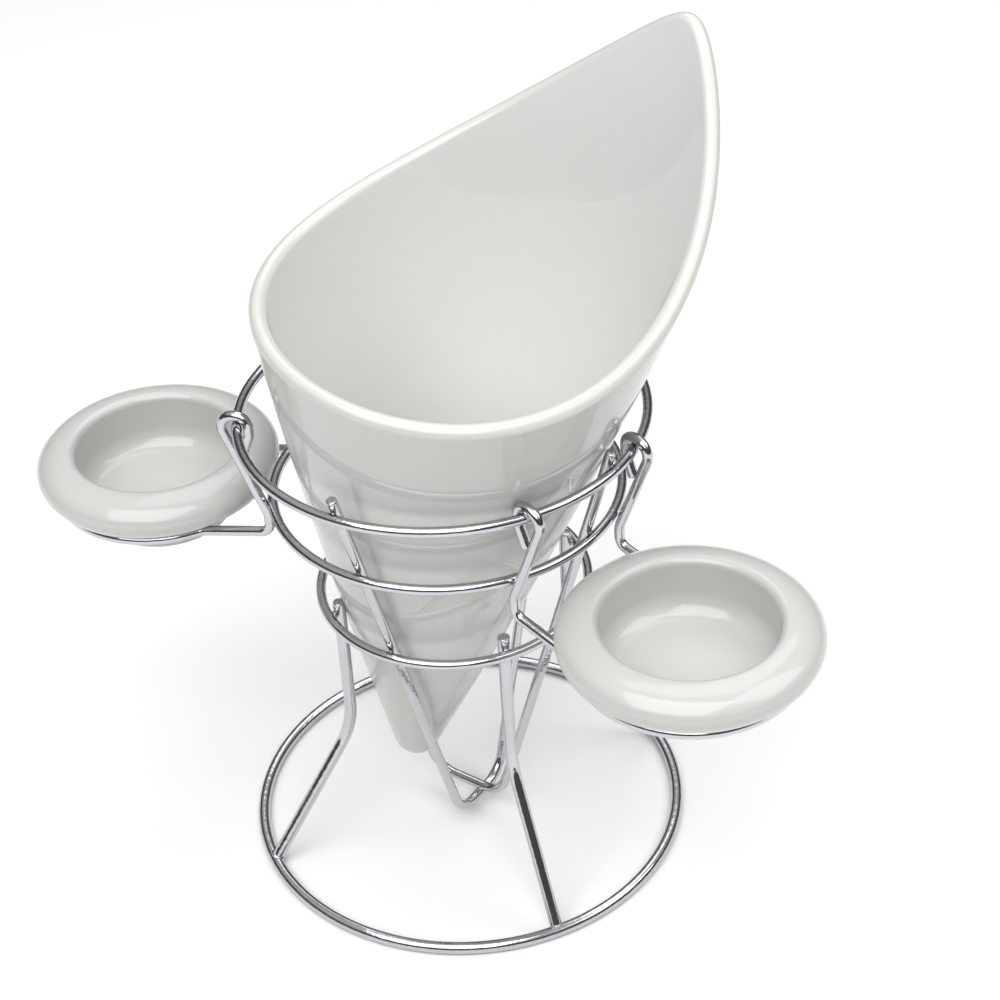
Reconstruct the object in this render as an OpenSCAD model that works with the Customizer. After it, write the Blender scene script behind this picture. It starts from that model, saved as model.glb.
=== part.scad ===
// Fries cone of glazed porcelain that leans in a chromed wire stand, with two
// dip dishes hung on the stand's top ring in bent wire holders.
// Millimetres, +Z up. The origin is on the ground, in the middle of the base ring.

/* [Wire] */
// Thickness of the wire of the base ring and the legs
leg_wire = 3.6; // [3:0.1:4.2]
// Thickness of the wire of the cage and of the dish holders
cage_wire = 3; // [2.4:0.1:3.2]

/* [Stand] */
// Radius of the base ring, to the middle of its wire
base_r = 65; // [60:0.5:75]
// Radius of the lower cage ring, to the middle of its wire
lower_r = 39.2; // [37:0.2:41]
// Slope of the cage's sides away from upright, in degrees
cage_slope = 16.5; // [15.5:0.1:17.5]
// Height of the lower ring
lower_z = 88.4; // [84:0.2:92]
// Height of the middle ring
middle_z = 123.5; // [120:0.5:127]
// Height of the upper ring
upper_z = 148.4; // [145:0.2:152]
// Direction of the first leg seen from above, in degrees from +X
leg_azimuth = 22; // [15:1:29]
// Height at which a leg bends out towards the base ring
leg_knee_z = 46; // [42:1:54]
// Radius of the bend in a leg
leg_bend_r = 26; // [18:1:32]
// How far a leg's cut top stands above the lower ring
leg_top_over = 4.4; // [3:0.1:7]

/* [V wires] */
// Direction of the V wire that runs from front to back
long_v_azimuth = 54; // [50:1:58]
// Distance of that wire's plane from the middle of the stand
long_v_side = 4; // [2:0.5:5]
// Direction of the V wire that crosses it
cross_v_azimuth = -36; // [-38:1:-34]
// Clear height of the lower V wire above the ground
v_ground_gap = 3.2; // [2:0.1:6]
// Radius of the two bends at the bottom of a V wire
v_bend_r = 9; // [7:0.5:10]
// How far the cut ends of a V wire stand above the upper ring
v_top_over = 3.4; // [2:0.1:5]

/* [Cone] */
// Radius of the cone's round tip
tip_r = 7.2; // [6.6:0.1:7.8]
// Thickness of the cone's wall
wall = 4.8; // [4.2:0.1:5.2]
// Height along the cone of the low front of the mouth, from the tip's centre
front_h = 155; // [151:1:159]
// Outer radius of the cone at that height
mouth_r = 54.8; // [54:0.1:55.6]
// How far the cone's side bows out of a straight line
side_bow = 1.59; // [1.2:0.01:2]
// How much higher than the front the pointed lip rises
lip_rise = 70; // [60:1:80]
// How quickly the mouth falls away from the pointed lip
lip_fall = 2.02; // [1.8:0.02:2.4]
// Roundness of the lip's point, as a share of the half turn
lip_round = 0.054; // [0.04:0.002:0.09]
// Direction in which the lip points
lip_azimuth = 34.5; // [20:0.5:50]
// Lean of the cone away from upright
lean = 8.14; // [7.6:0.02:8.6]
// Direction in which the cone's mouth leans
lean_azimuth = -21.2; // [-24:0.2:-18]
// Place of the tip's centre, across the stand
tip_x = -15; // [-15.4:0.02:-14.6]
// Place of the tip's centre, along the stand
tip_y = 1.18; // [0.6:0.02:1.8]

/* [Dish] */
// Radius of the circle that runs along the top of the dish's round rim
rim_r = 29.9; // [29.2:0.1:30.6]
// Roundness of the rim, as the radius of its section
rim_t = 5.9; // [5.4:0.1:6.3]
// How far the dish's sloping underside is set in from the round of the rim
under_inset = 2.6; // [2:0.1:3]
// Depth of the dish's floor below the middle of the rim
floor_depth = 11.4; // [10.4:0.1:12.2]
// Radius of the round between the dish's floor and its wall
floor_round = 6.2; // [5:0.1:7]
// Outer radius of the foot
foot_r = 20.2; // [19:0.2:21]
// Height of the middle of the rim above the foot's underside
foot_depth = 18.4; // [17.6:0.2:20]
// Depth of the hollow under the foot
foot_hollow = 2.4; // [1.6:0.1:3]
// Width of the ring that the dish stands on
foot_width = 3.6; // [3:0.2:5]

/* [Dish holders] */
// Radius of the holder's ring, to the middle of its wire
holder_r = 30; // [29.4:0.1:30.4]
// Distance from the stand's middle to the middle of the dish
holder_reach = 90.5; // [88:0.5:96]
// Height of the holder's ring
holder_z = 109; // [107:0.5:111]
// Half the distance between the holder's two hooks
hook_half = 20.9; // [19:0.1:22]
// Distance of a hook's inner side from the ring it hangs on, middle to middle
hook_in = 3.4; // [3.3:0.1:4]
// Distance of a hook's outer side from that ring, middle to middle
hook_out = 4.6; // [3.8:0.1:5]
// Length of the hook's tail inside the upper ring
tail_len = 13; // [9:0.5:14]
// Height of the knee below the middle ring
knee_drop = 10.8; // [9:0.1:11.6]
// Direction of the right holder
right_azimuth = -46.5; // [-48:0.5:-45]
// Direction of the left holder
left_azimuth = 161; // [159:0.5:163]

/* [Hidden] */

// Slope of a hook's tail away from upright, below the upper ring
tail_slope = 22;

chrome = [0.74, 0.75, 0.77];
porcelain = [0.93, 0.93, 0.91];

// Gap left where two wires touch, where a piece rests on a wire, and in a weld
touch = 0.04;
seat = 0.12;
section_fn = 40;
turn_fn = 96;
round_fn = 64;
// Sides of a bent wire's section, and the most that one step of a bend turns
wire_sides = 14;
bend_step = 15;

base_z = leg_wire / 2;
v_bottom_z = v_ground_gap + cage_wire / 2;

// Radius of the cage, at the middle of a ring's wire, at height z
function cage_r(z) = lower_r + (z - lower_z) * tan(cage_slope);
middle_r = cage_r(middle_z);
upper_r = cage_r(upper_z);

// Unit vector along v
function unit(v) = v / norm(v);
// Direction in the ground plane at azimuth a
function along(a) = [cos(a), sin(a), 0];

// Points along the bend of radius r at corner b, on the way from a to c
function bend_points(a, b, c, r) =
    let (
        u = unit(b - a),
        v = unit(c - b),
        turn = acos(min(1, u * v)),
        middle = b + unit(v - u) * r / cos(turn / 2),
        x = unit(b - u * r * tan(turn / 2) - middle),
        steps = max(1, ceil(turn / bend_step))
    )
    [for (k = [0 : steps]) let (t = turn * k / steps) middle + r * (cos(t) * x + sin(t) * u)];

// Route of a bent wire, with every corner between its ends rounded by its bend
function rounded(route, bends) = concat(
    [route[0]],
    [for (i = [1 : len(route) - 2])
        each bend_points(route[i - 1], route[i], route[i + 1], bends[i])],
    [route[len(route) - 1]]
);

// Wire of diameter d along a line of points: each section carries on the last
// one's sideways direction, so that the wire never twists
module wire(line, d) {
    last = len(line) - 1;
    way = [for (i = [0 : last]) unit(line[min(i + 1, last)] - line[max(i - 1, 0)])];
    start = cross(way[0], abs(way[0][2]) < 0.9 ? [0, 0, 1] : [1, 0, 0]);
    across = [for (i = 0, x = unit(start); i <= last; i = i + 1,
        x = i > last ? x : unit(x - (x * way[i]) * way[i])) x];
    points = [for (i = [0 : last], j = [0 : wire_sides - 1])
        let (t = 360 * j / wire_sides, y = cross(way[i], across[i]))
        line[i] + d / 2 * (cos(t) * across[i] + sin(t) * y)];
    faces = concat(
        [[for (j = [0 : wire_sides - 1]) j]],
        [for (i = [0 : last - 1], j = [0 : wire_sides - 1])
            let (k = (j + 1) % wire_sides, a = i * wire_sides, b = a + wire_sides)
            [a + j, b + j, b + k, a + k]],
        [[for (j = [wire_sides - 1 : -1 : 0]) last * wire_sides + j]]
    );
    polyhedron(points = points, faces = faces, convexity = 8);
}

// Closed ring of wire
module ring(r, z, d) {
    translate([0, 0, z]) rotate_extrude($fn = turn_fn)
        translate([r, 0]) circle(d = d, $fn = section_fn);
}

// Leg, upright inside the lower ring and then sloping out to the base ring, where
// its foot is cut to the round of the ring that it is welded to
module leg(azimuth) {
    top_r = lower_r - (leg_wire + cage_wire) / 2 - touch;
    route = [
        [top_r, 0, lower_z + leg_top_over],
        [top_r, 0, leg_knee_z],
        [base_r, 0, base_z]
    ];
    color(chrome) difference() {
        rotate([0, 0, azimuth]) wire(rounded(route, [0, leg_bend_r, 0]), leg_wire);
        ring(base_r, base_z, leg_wire + 2 * touch);
    }
}

// Distance of a V wire's middle inside the cage rings, whose sides it follows
v_inset = (cage_wire + touch) / cos(cage_slope);
// Distance of a V wire's arm from the middle of the V, at height z
function arm_reach(z, side) = sqrt(pow(cage_r(z) - v_inset, 2) - side * side);
v_top_z = upper_z + cage_wire / 2 + v_top_over;

// Point on a V wire: t along its plane and z up
function v_point(azimuth, side, t, z) =
    t * along(azimuth) + side * along(azimuth - 90) + [0, 0, z];

// Route of a V wire between its two cut ends
function v_route(azimuth, side, bottom_z) = [
    for (at = [[-1, v_top_z], [-1, bottom_z], [1, bottom_z], [1, v_top_z]])
        v_point(azimuth, side, at[0] * arm_reach(at[1], side), at[1])
];

long_v = v_route(long_v_azimuth, long_v_side, v_bottom_z);
cross_v = v_route(cross_v_azimuth, 0, v_bottom_z + cage_wire + touch);

module v_wire(route) {
    color(chrome) wire(rounded(route, [0, v_bend_r, v_bend_r, 0]), cage_wire);
}

// Where the holder's side arms cross the upper and the middle ring
hook_x = sqrt(upper_r * upper_r - hook_half * hook_half);
crest_z = upper_z + cage_wire + touch;
loop_z = crest_z - hook_out;
// The two bends of a hook's loop leave a short flat between them
crest_flat = 0.6;
in_bend_r = hook_in - crest_flat / 2;
out_bend_r = hook_out - crest_flat / 2;
arm_top_x = hook_x + hook_out;
middle_x = sqrt(middle_r * middle_r - hook_half * hook_half);

// Distance at which an arm that slopes by the given angle clears the middle ring
ring_turn = asin(hook_half / middle_r);
function arm_clear(slope) = (cage_wire + touch)
    * sqrt(pow(cos(slope), 2) + pow(cos(ring_turn) * sin(slope), 2))
    / (cos(ring_turn) * cos(slope));
function slope_for(offset) = atan((arm_top_x - middle_x - offset) / (loop_z - middle_z));
arm_slope = slope_for(arm_clear(slope_for(arm_clear(slope_for(cage_wire)))));

// Where the ring's wire turns off its circle into the two arms
leave_angle = asin(hook_half / holder_r);
ring_lead = 6;
first_angle = 180 - ring_lead - leave_angle;
ring_step = first_angle / 21;
leave_x = holder_reach - holder_r * cos(leave_angle);
knee_z = middle_z - knee_drop;
bow_z = middle_z - 1.5 * cage_wire;
bow_x = arm_top_x - (loop_z - bow_z) * tan(arm_slope);

tail_bend_z = upper_z - cage_wire;
tail_end_z = crest_z - tail_len;
tail_end_x = hook_x - hook_in + (tail_bend_z - tail_end_z) * tan(tail_slope);

// One arm, from the cut tail over the upper ring, down to the knee against the
// stand and out to where the holder's ring starts
arm_route = [
    [tail_end_x, hook_half, tail_end_z],
    [hook_x - hook_in, hook_half, tail_bend_z],
    [hook_x - hook_in, hook_half, crest_z],
    [arm_top_x, hook_half, crest_z],
    [arm_top_x, hook_half, loop_z - crest_flat],
    [bow_x, hook_half, bow_z],
    [bow_x, hook_half, knee_z],
    [leave_x, hook_half, holder_z],
    [leave_x, hook_half, holder_z] + ring_lead * [sin(leave_angle), cos(leave_angle), 0]
];
// Radii of its bends: the tail, the loop's two, the start of the slope, the bow
// against the middle ring, the knee and the turn into the holder's ring
tail_bend_r = 5;
slope_bend_r = 1.5;
bow_bend_r = 8;
knee_bend_r = 3.5;
lead_bend_r = 4;
arm_bends = [
    0, tail_bend_r, in_bend_r, out_bend_r, slope_bend_r, bow_bend_r, knee_bend_r, lead_bend_r, 0
];
arm_line = rounded(arm_route, arm_bends);
arm_count = len(arm_line) - 1;

// The whole holder is one wire: an arm, the ring round the dish and the other arm
holder_line = concat(
    [for (i = [0 : arm_count - 1]) arm_line[i]],
    [for (t = [first_angle : -ring_step : -first_angle])
        [holder_reach + holder_r * cos(t), holder_r * sin(t), holder_z]],
    [for (i = [arm_count - 1 : -1 : 0]) [arm_line[i][0], -arm_line[i][1], arm_line[i][2]]]
);

// Radius of the cone's side carried down to the tip's centre, where it runs into
// the round of the tip
tip_side = tip_r / cos(atan((mouth_r - tip_r) / front_h));
// Outer radius of the cone at distance s along it from the tip's centre
function side_r(s) =
    tip_side + (mouth_r - tip_side) * s / front_h
    + 4 * side_bow * s / front_h * (1 - s / front_h);
// Slope of the cone's side at s, away from its axis
function side_slope(s) =
    atan((mouth_r - tip_side) / front_h + 4 * side_bow / front_h * (1 - 2 * s / front_h));

// Height of the mouth at angle a from the pointed lip, by the half turn's sine
function blunt(x) = (sqrt(x * x + lip_round * lip_round) - lip_round)
    / (sqrt(1 + lip_round * lip_round) - lip_round);
function mouth_h(a) = front_h + lip_rise * pow(1 - blunt(abs(sin(a / 2))), lip_fall);

// One section of the cone, from the outside of its tip up over the lip and down
// to the inside of its tip, as pairs of radius and distance along the cone
tip_steps = 4;
side_steps = 8;
lip_steps = 6;
tip_slope = side_slope(0);
function section(h) = concat(
    [for (i = [0 : tip_steps - 1]) let (t = -90 + (90 - tip_slope) * i / tip_steps)
        [tip_r * cos(t), tip_r * sin(t)]],
    [for (i = [0 : side_steps]) let (s = h * i / side_steps)
        [side_r(s), s]],
    [for (i = [1 : lip_steps]) let (t = 180 * i / lip_steps - side_slope(h))
        [side_r(h) - wall / 2 + wall / 2 * cos(t), h + wall / 2 * sin(t)]],
    [for (i = [1 : side_steps]) let (s = h * (1 - i / side_steps))
        [side_r(s) - wall / cos(side_slope(s)), s]],
    [for (i = [1 : tip_steps]) let (t = -tip_slope - (90 - tip_slope) * i / tip_steps)
        [(tip_r - wall) * cos(t), (tip_r - wall) * sin(t)]]
);

// The sections stand closer together round the pointed lip
turn_steps = 84;
crowding = 24;
function step_angle(i) = let (a = 360 * i / turn_steps) a - crowding * sin(a);

module cone_shell() {
    sections = [for (i = [0 : turn_steps - 1]) section(mouth_h(step_angle(i)))];
    rows = len(sections[0]);
    body = [for (i = [0 : turn_steps - 1], j = [1 : rows - 2]) let (a = step_angle(i))
        [sections[i][j][0] * cos(a), sections[i][j][0] * sin(a), sections[i][j][1]]];
    outer_pole = len(body);
    inner_pole = outer_pole + 1;
    poles = [[0, 0, -tip_r], [0, 0, wall - tip_r]];
    in_row = rows - 2;
    faces = concat(
        [for (i = [0 : turn_steps - 1], j = [0 : in_row - 2])
            let (k = (i + 1) % turn_steps)
            [i * in_row + j, i * in_row + j + 1, k * in_row + j + 1, k * in_row + j]],
        [for (i = [0 : turn_steps - 1]) let (k = (i + 1) % turn_steps)
            [outer_pole, i * in_row, k * in_row]],
        [for (i = [0 : turn_steps - 1]) let (k = (i + 1) % turn_steps)
            [inner_pole, (k + 1) * in_row - 1, (i + 1) * in_row - 1]]
    );
    polyhedron(points = concat(body, poles), faces = faces, convexity = 6);
}

// The cone settles on the wires: its height is the lowest at which its side stays
// clear of every wire by the seat
axis = sin(lean) * along(lean_azimuth) + [0, 0, cos(lean)];
function clear_of(p, z) =
    let (q = p - [tip_x, tip_y, z], s = q * axis)
    (norm(q - s * axis) - side_r(s)) * cos(side_slope(s)) - cage_wire / 2;

ring_steps = 90;
arm_steps = 40;
arm_checked = 36;
wire_points = concat(
    [for (z = [lower_z, middle_z, upper_z], i = [0 : ring_steps - 1])
        cage_r(z) * along(360 * i / ring_steps) + [0, 0, z]],
    [for (v = [long_v, cross_v], pair = [[0, 1], [3, 2]], i = [0 : arm_checked])
        v[pair[0]] + (v[pair[1]] - v[pair[0]]) * i / arm_steps],
    [for (azimuth = [right_azimuth, left_azimuth], side = [-1, 1], p = arm_line)
        if (p[0] < hook_x)
            p[0] * along(azimuth) + side * p[1] * along(azimuth + 90) + [0, 0, p[2]]]
);
function settle(low, high, tries) =
    let (z = (low + high) / 2)
    tries == 0 ? high
    : min([for (p = wire_points) clear_of(p, z)]) < seat ? settle(z, high, tries - 1)
    : settle(low, z, tries - 1);
tip_z = settle(20, 44, 14);

module fries_cone() {
    color(porcelain)
        translate([tip_x, tip_y, tip_z])
            rotate([0, 0, lean_azimuth]) rotate([0, lean, 0])
                rotate([0, 0, lip_azimuth - lean_azimuth])
                    cone_shell();
}

module holder(azimuth) {
    color(chrome) rotate([0, 0, azimuth]) wire(holder_line, cage_wire);
}

// The dish rests on the holder's ring by its sloping underside, or by the round of its
// rim where that reaches the wire first
under_line = rim_r + rim_t * sqrt(2) - under_inset;
wire_room = cage_wire / 2 + seat;
slope_rest = under_line - holder_r + wire_room * sqrt(2);
round_rest = sqrt(pow(rim_t + wire_room, 2) - pow(holder_r - rim_r, 2));
dish_z = holder_z + max(slope_rest, round_rest);

// Half section of the dish, in radius and height from the middle of the rim
module dish_section() {
    under = (under_line - rim_r) / 2;
    foot_top = foot_r - under_line;
    well_r = rim_r - rim_t;
    hollow_r = foot_r - foot_width;
    difference() {
        union() {
            translate([rim_r, 0]) circle(r = rim_t, $fn = round_fn);
            polygon([
                [0, foot_hollow - foot_depth], [hollow_r - foot_hollow, foot_hollow - foot_depth],
                [hollow_r, -foot_depth], [foot_r, -foot_depth], [foot_r, foot_top],
                [rim_r + under, -under], [rim_r, 0], [well_r, 0],
                [well_r, floor_round - floor_depth], [well_r - floor_round, -floor_depth],
                [0, -floor_depth]
            ]);
        }
        translate([well_r - floor_round, floor_round - floor_depth])
            circle(r = floor_round, $fn = round_fn);
    }
}

module dish(azimuth) {
    color(porcelain) translate([0, 0, dish_z]) rotate([0, 0, azimuth])
        translate([holder_reach, 0, 0]) rotate_extrude($fn = turn_fn) dish_section();
}

fries_cone();
color(chrome) ring(base_r, base_z, leg_wire);  // base_ring
color(chrome) ring(lower_r, lower_z, cage_wire);  // lower_ring
color(chrome) ring(middle_r, middle_z, cage_wire);  // middle_ring
color(chrome) ring(upper_r, upper_z, cage_wire);  // upper_ring
leg(leg_azimuth);  // right_leg
leg(leg_azimuth + 90);  // back_leg
leg(leg_azimuth + 180);  // left_leg
leg(leg_azimuth + 270);  // front_leg
v_wire(long_v);  // long_v_wire
v_wire(cross_v);  // cross_v_wire
holder(right_azimuth);  // right_holder
holder(left_azimuth);  // left_holder
dish(right_azimuth);  // right_dish
dish(left_azimuth);  // left_dish
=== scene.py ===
# %% [markdown]
# # A porcelain fries cone in a chromed wire stand
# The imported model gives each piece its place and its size, in metres. The pieces
# are made again here with finer surfaces, and each one stands for its own node.

# %% Load the frame
import math

import bmesh
import bpy
from mathutils import Matrix, Vector


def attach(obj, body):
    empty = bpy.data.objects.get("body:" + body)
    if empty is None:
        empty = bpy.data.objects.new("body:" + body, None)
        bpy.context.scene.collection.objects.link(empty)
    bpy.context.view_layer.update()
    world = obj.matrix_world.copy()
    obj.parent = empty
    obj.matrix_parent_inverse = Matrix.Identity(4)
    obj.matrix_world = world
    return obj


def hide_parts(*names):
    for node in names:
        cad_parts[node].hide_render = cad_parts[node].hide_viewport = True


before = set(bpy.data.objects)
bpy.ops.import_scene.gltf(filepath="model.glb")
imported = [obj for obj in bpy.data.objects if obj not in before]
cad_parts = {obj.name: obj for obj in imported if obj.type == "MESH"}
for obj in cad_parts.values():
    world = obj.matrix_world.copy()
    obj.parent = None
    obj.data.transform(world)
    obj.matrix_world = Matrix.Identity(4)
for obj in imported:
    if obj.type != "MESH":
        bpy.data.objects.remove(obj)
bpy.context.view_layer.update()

MM = 0.001

# %% [markdown]
# Every size below is the same as in the part's source, in millimetres. A piece that
# is made from the same numbers lands in the same place as its node, so nothing has
# to be fitted by eye.

# %% Sizes that more than one piece uses
LEG_WIRE, CAGE_WIRE = 3.6, 3.0
TOUCH, SEAT = 0.04, 0.12
BASE_R = 65.0
LOWER_R, LOWER_Z, MIDDLE_Z, UPPER_Z = 39.2, 88.4, 123.5, 148.4
CAGE_SLOPE = math.radians(16.5)
RIGHT_AZIMUTH, LEFT_AZIMUTH = -46.5, 161.0
HOLDER_R, HOLDER_REACH, HOLDER_Z = 30.0, 90.5, 109.0


def cage_r(z):
    """Radius of the cage at height z, to the middle of a ring's wire."""
    return LOWER_R + (z - LOWER_Z) * math.tan(CAGE_SLOPE)


def along(azimuth):
    """Unit vector in the ground plane."""
    return Vector((math.cos(math.radians(azimuth)), math.sin(math.radians(azimuth)), 0))


print("cage radii:", [round(cage_r(z), 1) for z in (LOWER_Z, MIDDLE_Z, UPPER_Z)])

# %% [markdown]
# Shader trees and geometry trees both do their sums with Math nodes. Wired one by
# one they hide the formula, so this small class lets a socket be written as a
# number: `a * 2 + b` makes the two nodes and links them.

# %% Sums on sockets


class Sum:
    """A number in a node tree: arithmetic on it adds Math nodes to that tree."""

    def __init__(self, tree, socket):
        self.tree, self.socket = tree, socket

    def math(self, operation, *others):
        node = self.tree.nodes.new("ShaderNodeMath")
        node.operation = operation
        for place, value in zip(node.inputs, (self, *others)):
            if isinstance(value, Sum):
                self.tree.links.new(value.socket, place)
            else:
                place.default_value = value
        return Sum(self.tree, node.outputs[0])

    def __add__(self, other):
        return self.math("ADD", other)

    def __sub__(self, other):
        return self.math("SUBTRACT", other)

    def __mul__(self, other):
        return self.math("MULTIPLY", other)

    def __truediv__(self, other):
        return self.math("DIVIDE", other)

    def __pow__(self, other):
        return self.math("POWER", other)

    __radd__, __rmul__ = __add__, __mul__

    def __rsub__(self, other):
        return self * -1 + other

    def cos(self):
        return self.math("COSINE")

    def sin(self):
        return self.math("SINE")

    def atan(self):
        return self.math("ARCTANGENT")

    def abs(self):
        return self.math("ABSOLUTE")

    def at_most(self, other):
        return self.math("MINIMUM", other)

    def at_least(self, other):
        return self.math("MAXIMUM", other)


def socket(tree, name, kind, default=None, output=False):
    """Adds a named socket to a tree's own inputs or outputs."""
    way = "OUTPUT" if output else "INPUT"
    made = tree.interface.new_socket(name, in_out=way, socket_type=kind)
    if default is not None:
        made.default_value = default


def add(tree, kind, links=None, **settings):
    """Adds a node, sets its fields and feeds its sockets by name or number."""
    node = tree.nodes.new(kind)
    for field, value in settings.items():
        setattr(node, field, value)
    for place, value in (links or {}).items():
        end = node.inputs[place]
        if isinstance(value, Sum):
            tree.links.new(value.socket, end)
        elif isinstance(value, bpy.types.NodeSocket):
            tree.links.new(value, end)
        else:
            end.default_value = value
    return node


def blend(tree, share, first, second):
    """Mixes two colours: a share of 0 gives the first and 1 the second."""
    mix = add(tree, "ShaderNodeMix", {0: share, 6: first, 7: second}, data_type="RGBA")
    return mix.outputs[2]


# %% [markdown]
# A geometry tree is only the recipe. The object needs a modifier with its own values
# for the recipe's inputs, which are set by the socket's identifier, and the result is
# then turned into a plain mesh so that the piece no longer depends on the tree. Each
# tree ends in the same way: smooth faces, real geometry and a material.

# %% From a recipe to a plain mesh


def link_object(name, mesh):
    obj = bpy.data.objects.new(name, mesh)
    bpy.context.scene.collection.objects.link(obj)
    return obj


def end_tree(tree, shape, material):
    """Ends a geometry tree with smooth faces, real geometry and its material."""
    smooth = add(tree, "GeometryNodeSetShadeSmooth", {"Geometry": shape})
    real = add(tree, "GeometryNodeRealizeInstances", {"Geometry": smooth.outputs[0]})
    coated = add(tree, "GeometryNodeSetMaterial", {"Geometry": real.outputs[0],
                                                   "Material": material})
    add(tree, "NodeGroupOutput", {"Geometry": coated.outputs[0]})


def turn_out(mesh):
    """Turns the faces of a closed mesh outwards."""
    shape = bmesh.new()
    shape.from_mesh(mesh)
    if shape.calc_volume(signed=True) < 0:
        bmesh.ops.reverse_faces(shape, faces=shape.faces)
    shape.to_mesh(mesh)
    shape.free()


def made_by(tree, name, start, **values):
    """Runs a geometry tree on the mesh called start, and keeps the result as a plain mesh."""
    obj = link_object(name, start)
    recipe = obj.modifiers.new("recipe", "NODES")
    recipe.node_group = tree
    for item in tree.interface.items_tree:
        if item.in_out == "INPUT" and item.name.replace(" ", "_") in values:
            recipe[item.identifier] = values[item.name.replace(" ", "_")]
    graph = bpy.context.evaluated_depsgraph_get()
    mesh = bpy.data.meshes.new_from_object(obj.evaluated_get(graph))
    obj.modifiers.clear()
    obj.data = mesh
    mesh.name = name
    turn_out(mesh)
    print(f"{name}: {len(mesh.polygons)} faces")
    return obj


# %% [markdown]
# Glaze and chrome below are each a group of effects that several materials place with
# their own values. The group gives colour, roughness and bump, and the material's own
# shader makes porcelain or metal of them. That wiring is the same for all of them.

# %% From a group of effects to a material


def material_from(name, effects, **values):
    """A material fed by a group of effects; also gives its group and its shader."""
    material = bpy.data.materials.new(name)
    material.use_nodes = True
    tree = material.node_tree
    shader = tree.nodes["Principled BSDF"]
    group = add(tree, "ShaderNodeGroup", node_tree=effects)
    for field, value in values.items():
        group.inputs[field.replace("_", " ")].default_value = value
    for ours, theirs in (("Color", "Base Color"), ("Roughness", "Roughness"), ("Normal", "Normal")):
        tree.links.new(group.outputs[ours], shader.inputs[theirs])
    return material, group, shader


# %% [markdown]
# ## The glaze
# Porcelain is white clay under a clear glass glaze. The white comes from inside, a
# little warm, and the gloss comes from a separate smooth layer on top, so the shader
# has a soft base with a clear top layer. A fired glaze is never flat: it runs in slow
# waves, holds a few dark specks, and thins on edges, where the clay shows slightly
# warmer. The cone's inside is painted a lighter white than its outside: painted light
# for the light that falls into the mouth, while the outside faces down into shade.
# Cone and dishes share these effects, so they are a group.

# %% Glaze group
CLOUD_SCALE, CLOUD_TONE, CLOUD_ROUGH = 22.0, 0.2, 0.12   # slow change of tone and gloss
GLAZE_ROUGH, WAVE_HEIGHT = 0.24, 0.0012
GRAIN_SCALE, SPECK_REACH, SPECK_EDGE = 420.0, 0.16, 9    # grains, and a speck's size in one
RARE_FROM, RARE_GAIN = 0.985, 60                         # few of the grains hold a speck
SPECK_TONE, SPECK_SHARE = (0.32, 0.27, 0.21, 1), 0.55


def glaze_group():
    tree = bpy.data.node_groups.new("glaze", "ShaderNodeTree")
    socket(tree, "Body", "NodeSocketColor", (0.62, 0.62, 0.6, 1))
    # The next colour is the cone's inside, painted lighter than its outside: painted light.
    socket(tree, "Lining", "NodeSocketColor", (0.68, 0.68, 0.665, 1))
    socket(tree, "Thin edge", "NodeSocketColor", (0.6, 0.59, 0.56, 1))
    socket(tree, "Inside", "NodeSocketFloat", 0.0)
    socket(tree, "Edge", "NodeSocketFloat", 0.0)
    socket(tree, "Wave size", "NodeSocketFloat", 60.0)
    socket(tree, "Wave depth", "NodeSocketFloat", 0.1)
    socket(tree, "Specks", "NodeSocketFloat", 0.5)
    socket(tree, "Color", "NodeSocketColor", output=True)
    socket(tree, "Roughness", "NodeSocketFloat", output=True)
    socket(tree, "Normal", "NodeSocketVector", output=True)
    given = add(tree, "NodeGroupInput").outputs
    place = add(tree, "ShaderNodeTexCoord").outputs["Object"]
    wave = add(tree, "ShaderNodeTexNoise",
               {"Vector": place, "Scale": given["Wave size"], "Detail": 2.0, "Roughness": 0.4})
    cloud = add(tree, "ShaderNodeTexNoise",
                {"Vector": place, "Scale": CLOUD_SCALE, "Detail": 3.0}).outputs[0]
    grains = add(tree, "ShaderNodeTexVoronoi",
                 {"Vector": place, "Scale": GRAIN_SCALE, "Randomness": 1.0})
    chosen = add(tree, "ShaderNodeTexWhiteNoise", {"Vector": grains.outputs["Position"]})
    near = (SPECK_REACH - Sum(tree, grains.outputs["Distance"])).at_least(0) * SPECK_EDGE
    rare = (Sum(tree, chosen.outputs["Value"]) - RARE_FROM).at_least(0) * RARE_GAIN
    speck = (near * rare * Sum(tree, given["Specks"])).at_most(1)
    # Where the inside mark is 1 the body colour turns to the lighter inside colour: painted light
    # on the cone's inside.
    tone_with_lit_inside = blend(tree, given["Inside"], given["Body"], given["Lining"])
    tone = blend(tree, Sum(tree, cloud) * CLOUD_TONE, tone_with_lit_inside, given["Thin edge"])
    edge = blend(tree, given["Edge"], tone, given["Thin edge"])
    dotted = blend(tree, speck * SPECK_SHARE, edge, SPECK_TONE)
    bump = add(tree, "ShaderNodeBump", {"Height": wave.outputs[0], "Strength": given["Wave depth"],
                                        "Distance": WAVE_HEIGHT})
    add(tree, "NodeGroupOutput", {"Color": dotted,
                                  "Roughness": GLAZE_ROUGH + Sum(tree, cloud) * CLOUD_ROUGH,
                                  "Normal": bump.outputs[0]})
    return tree


GLAZE = glaze_group()
CLEAR_COAT = {"IOR": 1.5, "Specular IOR Level": 0.25, "Coat Weight": 0.8, "Coat Roughness": 0.02}


def porcelain(name, edge_name, **values):
    """A glazed material; edge_name is the mesh attribute that is 1 where the glaze is thin."""
    material, group, shader = material_from(name, GLAZE, **values)
    # The inside mark lets the glaze paint the cone's inside lighter: painted light.
    for field, attribute in (("Edge", edge_name), ("Inside", "inside")):
        mark = add(material.node_tree, "ShaderNodeAttribute", attribute_name=attribute)
        material.node_tree.links.new(mark.outputs["Fac"], group.inputs[field])
    for field, value in CLEAR_COAT.items():
        shader.inputs[field].default_value = value
    return material


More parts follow.
